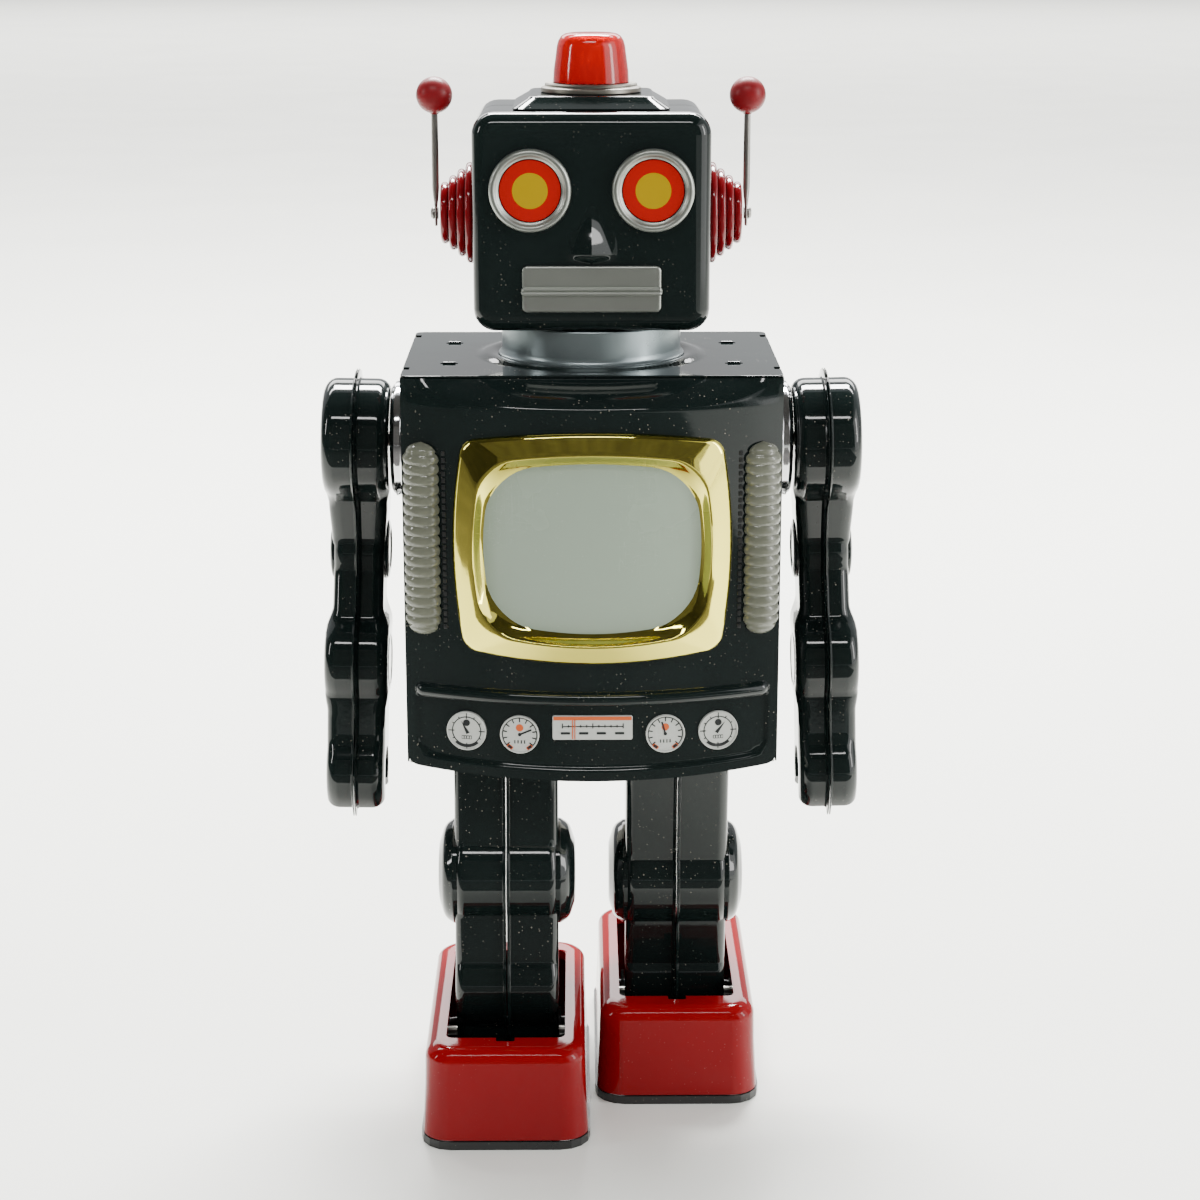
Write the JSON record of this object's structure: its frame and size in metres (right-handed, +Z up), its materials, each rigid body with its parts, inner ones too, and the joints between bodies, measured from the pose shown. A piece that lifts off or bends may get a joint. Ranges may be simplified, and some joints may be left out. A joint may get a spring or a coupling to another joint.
{
  "type": "walking tin television robot",
  "caption": "Black tin walking robot toy with a gold-rimmed picture screen, lamp dome, antennas, jointed arms and legs, and red wheeled shoes.",
  "frame": {"origin": "on the ground, midway between the two shoes in mid step", "axes": "+Z up, -Y is the robot's front, +X is the robot's left"},
  "size_m": [0.1912, 0.1362, 0.372],
  "materials": {
    "black": "high-gloss black lacquer on tinplate",
    "crimson": "high-gloss crimson lacquer on tinplate",
    "ear_red": "glossy dark red",
    "ball_red": "satin red",
    "silver": "satin silver plate",
    "chrome": "bright plate",
    "gold": "mirror-bright gold plate",
    "steel": "dark steel",
    "nickel": "dull nickel",
    "screen": "milky translucent plastic",
    "strip": "clear ribbed plastic",
    "lamp": "translucent red plastic",
    "glass": "clear glass",
    "eye": "red disc with a yellow centre",
    "sole": "black lacquered plate",
    "wheel": "black rubber tyre on a steel axle",
    "plate": "bare tinplate",
    "brass": "bare brass",
    "drum": "printed film",
    "battery": "plain card sleeve"
  },
  "bodies": {
    "torso": {"front_panel": "black", "torso_shell": "black", "top_plate": "black", "head_front_shell": "black", "head_rear_shell": "black", "head_plinth": "black", "base_plate": "plate", "drive_frame": "plate", "lamp_post": "plate", "battery_holder": "plate", "screen_bezel": "gold", "screen": "screen", "neck_drum": "silver", "mouth_plate": "silver", "lamp_flange": "nickel", "lamp_dome": "lamp", "lamp_bulb": "glass", "drum_lamp": "glass", "motor": "steel", "battery_pack": "battery", "light_strip_right": "strip", "eye_bezel_right": "silver", "eye_lens_right": "eye", "ear_right": "ear_red", "shoulder_ring_right": "chrome", "light_strip_left": "strip", "eye_bezel_left": "silver", "eye_lens_left": "eye", "ear_left": "ear_red", "shoulder_ring_left": "chrome"},
    "arm_right": {"arm_right_outer": "black", "arm_right_inner": "black", "shoulder_axle_right": "steel"},
    "leg_right": {"leg_right_outer": "black", "leg_right_inner": "black"},
    "shoe_right": {"shoe_upper_right": "crimson", "shoe_sole_right": "sole", "ankle_pin_right": "steel"},
    "wheels_right_front": {"wheelset_right_front": "wheel"},
    "wheels_right_rear": {"wheelset_right_rear": "wheel"},
    "antenna_right": {"antenna_rod_right": "steel", "antenna_ball_right": "ball_red"},
    "arm_left": {"arm_left_outer": "black", "arm_left_inner": "black", "shoulder_axle_left": "steel"},
    "leg_left": {"leg_left_outer": "black", "leg_left_inner": "black"},
    "shoe_left": {"shoe_upper_left": "crimson", "shoe_sole_left": "sole", "ankle_pin_left": "steel"},
    "wheels_left_front": {"wheelset_left_front": "wheel"},
    "wheels_left_rear": {"wheelset_left_rear": "wheel"},
    "antenna_left": {"antenna_rod_left": "steel", "antenna_ball_left": "ball_red"},
    "pinion": {"motor_pinion": "brass"},
    "crank": {"crank_gear": "brass"},
    "drum": {"picture_drum": "drum"},
    "door": {"battery_door": "black"},
    "switch": {"switch_lever": "nickel"}
  },
  "joints": [
    {"name": "swing_leg_right", "type": "hinge", "parent": "torso", "child": "leg_right", "pos_m": [-0.0303, 0, 0.15], "axis": [1, 0, 0], "range_deg": [0, 15]},
    {"name": "swing_leg_left", "type": "hinge", "parent": "torso", "child": "leg_left", "pos_m": [0.0303, 0, 0.15], "axis": [1, 0, 0], "range_deg": [-15, 0]},
    {"name": "ankle_right", "type": "hinge", "parent": "leg_right", "child": "shoe_right", "pos_m": [-0.0303, -0.01697, 0.02111], "axis": [1, 0, 0], "range_deg": [-15, 0]},
    {"name": "wheel_spin_right_front", "type": "hinge", "parent": "shoe_right", "child": "wheels_right_front", "pos_m": [-0.0303, -0.05097, 0.00705], "axis": [1, 0, 0], "continuous": true},
    {"name": "wheel_spin_right_rear", "type": "hinge", "parent": "shoe_right", "child": "wheels_right_rear", "pos_m": [-0.0303, 0.01703, 0.00705], "axis": [1, 0, 0], "continuous": true},
    {"name": "ankle_left", "type": "hinge", "parent": "leg_left", "child": "shoe_left", "pos_m": [0.0303, 0.01697, 0.02111], "axis": [1, 0, 0], "range_deg": [0, 15]},
    {"name": "wheel_spin_left_front", "type": "hinge", "parent": "shoe_left", "child": "wheels_left_front", "pos_m": [0.0303, -0.01703, 0.00705], "axis": [1, 0, 0], "continuous": true},
    {"name": "wheel_spin_left_rear", "type": "hinge", "parent": "shoe_left", "child": "wheels_left_rear", "pos_m": [0.0303, 0.05097, 0.00705], "axis": [1, 0, 0], "continuous": true},
    {"name": "swing_arm_right", "type": "hinge", "parent": "torso", "child": "arm_right", "pos_m": [-0.0822, 0.0177, 0.232], "axis": [1, 0, 0], "range_deg": [-12, 12]},
    {"name": "swing_arm_left", "type": "hinge", "parent": "torso", "child": "arm_left", "pos_m": [0.0822, 0.0177, 0.232], "axis": [1, 0, 0], "range_deg": [-12, 12]},
    {"name": "tilt_antenna_right", "type": "hinge", "parent": "torso", "child": "antenna_right", "pos_m": [-0.05335, 0.0177, 0.3112], "axis": [1, 0, 0], "range_deg": [-60, 60]},
    {"name": "tilt_antenna_left", "type": "hinge", "parent": "torso", "child": "antenna_left", "pos_m": [0.05335, 0.0177, 0.3112], "axis": [1, 0, 0], "range_deg": [-60, 60]},
    {"name": "pinion_spin", "type": "hinge", "parent": "torso", "child": "pinion", "pos_m": [0, 0.02, 0.1635], "axis": [1, 0, 0], "continuous": true},
    {"name": "crank_spin", "type": "hinge", "parent": "torso", "child": "crank", "pos_m": [0, 0, 0.1635], "axis": [1, 0, 0], "continuous": true},
    {"name": "drum_spin", "type": "hinge", "parent": "torso", "child": "drum", "pos_m": [0, 0, 0.1773], "axis": [0, 0, 1], "continuous": true},
    {"name": "door_swing", "type": "hinge", "parent": "torso", "child": "door", "pos_m": [0, 0.0643, 0.1503], "axis": [1, 0, 0], "range_deg": [-100, 0]},
    {"name": "switch_slide", "type": "slide", "parent": "torso", "child": "switch", "axis": [1, 0, 0], "range_m": [0, 0.006]}
  ],
  "couplings": [
    {"joint": "swing_leg_left", "follows": "swing_leg_right", "ratio": -1},
    {"joint": "ankle_right", "follows": "swing_leg_right", "ratio": -1},
    {"joint": "ankle_left", "follows": "swing_leg_right", "ratio": 1},
    {"joint": "swing_arm_left", "follows": "swing_arm_right", "ratio": -1},
    {"joint": "crank_spin", "follows": "drum_spin", "ratio": -0.44444},
    {"joint": "pinion_spin", "follows": "drum_spin", "ratio": 0.66667}
  ]
}
